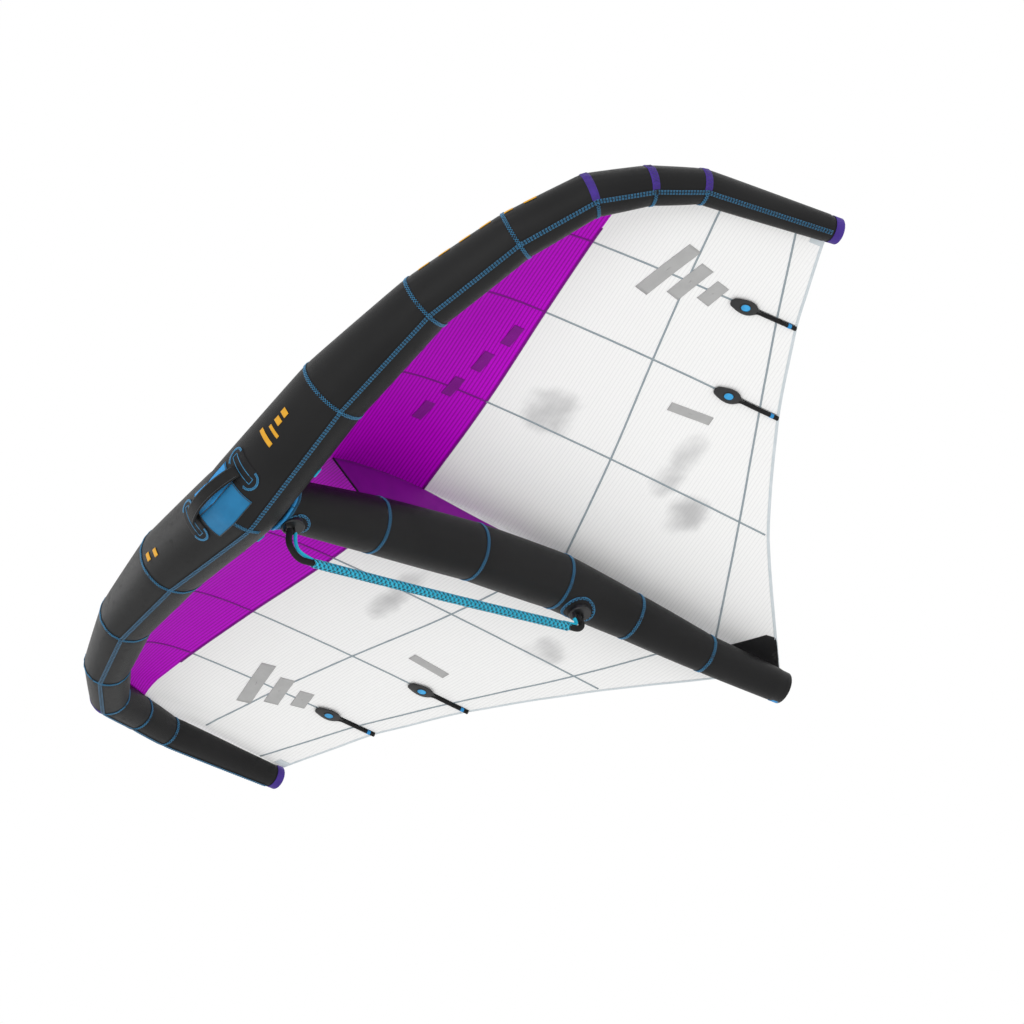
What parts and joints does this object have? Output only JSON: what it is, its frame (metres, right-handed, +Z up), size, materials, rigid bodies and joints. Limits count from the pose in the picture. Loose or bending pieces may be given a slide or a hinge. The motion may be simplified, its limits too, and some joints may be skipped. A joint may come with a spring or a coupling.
{
  "type": "inflatable wing",
  "caption": "Inflatable hand-held wing with a curved leading edge tube, a centre strut tube, a stretched cloth canopy, a rope handle under the strut and a carry handle on the nose.",
  "frame": {"origin": "middle of the strut handle grip, where the hand holds the wing", "axes": "+X to the right-hand tip, +Y from nose to tail, +Z up as the wing is flown"},
  "size_m": [2.9254, 2.1395, 0.5659],
  "materials": {
    "tube_cloth": "matt black woven polyester",
    "colour_cloth": "magenta ripstop",
    "canopy_cloth": "white ripstop",
    "hem_tape": "pale grey folded hem",
    "bladder_film": "translucent film",
    "seam_tape": "black tape with blue stitching",
    "accent_band": "purple woven band",
    "blue_trim": "bright blue coated cloth",
    "patch_cloth": "black reinforcement cloth",
    "black_plastic": "moulded",
    "webbing": "black padded webbing",
    "batten_rod": "glass fibre rod",
    "rope": "braided cyan rope"
  },
  "bodies": {
    "wing": {"batten_caps": "black_plastic", "batten_pockets": "webbing", "battens": "batten_rod", "canopy_front_left": "colour_cloth", "canopy_front_right": "colour_cloth", "canopy_middle_left": "canopy_cloth", "canopy_middle_right": "canopy_cloth", "canopy_rear_left": "canopy_cloth", "canopy_rear_right": "canopy_cloth", "carry_patches": "patch_cloth", "handle_bosses": "black_plastic", "handle_patches": "patch_cloth", "le_bladder": "bladder_film", "le_casing_left_1": "tube_cloth", "le_casing_left_2": "tube_cloth", "le_casing_left_3": "tube_cloth", "le_casing_left_4": "tube_cloth", "le_casing_left_5": "tube_cloth", "le_casing_left_6": "tube_cloth", "le_casing_left_7": "tube_cloth", "le_casing_right_1": "tube_cloth", "le_casing_right_2": "tube_cloth", "le_casing_right_3": "tube_cloth", "le_casing_right_4": "tube_cloth", "le_casing_right_5": "tube_cloth", "le_casing_right_6": "tube_cloth", "le_casing_right_7": "tube_cloth", "le_ring_bands": "accent_band", "le_ring_tapes": "seam_tape", "le_seam_tape_left": "seam_tape", "le_seam_tape_right": "seam_tape", "profile_panel_front": "colour_cloth", "profile_panel_rear": "canopy_cloth", "strut_bladder": "bladder_film", "strut_casing_1": "tube_cloth", "strut_casing_2": "tube_cloth", "strut_casing_3": "tube_cloth", "strut_casing_4": "tube_cloth", "strut_casing_5": "tube_cloth", "strut_casing_6": "tube_cloth", "strut_collar": "blue_trim", "strut_end_cap": "black_plastic", "strut_end_ring": "blue_trim", "strut_ring_tapes": "seam_tape", "tail_patch": "patch_cloth", "tip_cap_left": "accent_band", "tip_cap_right": "accent_band", "tip_patch": "patch_cloth", "trailing_hem_left": "hem_tape", "trailing_hem_right": "hem_tape", "valve_body": "black_plastic", "wear_panel": "blue_trim"},
    "strut_handle": {"handle_rope": "rope", "handle_sleeve_front": "webbing", "handle_sleeve_rear": "webbing"},
    "carry_handle": {"carry_strap": "webbing"},
    "valve_lid": {"valve_cap": "black_plastic"}
  },
  "joints": [
    {"name": "handle_swing", "type": "hinge", "parent": "wing", "child": "strut_handle", "pos_m": [0, -0.538, 0.033], "axis": [0, 0.9975, 0.0707], "range_deg": [-70, 70]},
    {"name": "carry_handle_rock", "type": "hinge", "parent": "wing", "child": "carry_handle", "pos_m": [0, -0.78646, 0.06892], "axis": [1, 0, 0], "range_deg": [-10, 10], "stiffness_Nm_per_rad": 1},
    {"name": "valve_cap_hinge", "type": "hinge", "parent": "wing", "child": "valve_lid", "pos_m": [-0.21338, -0.55212, 0.118], "axis": [0.2511, 0.2176, 0.9432], "range_deg": [0, 140]}
  ]
}
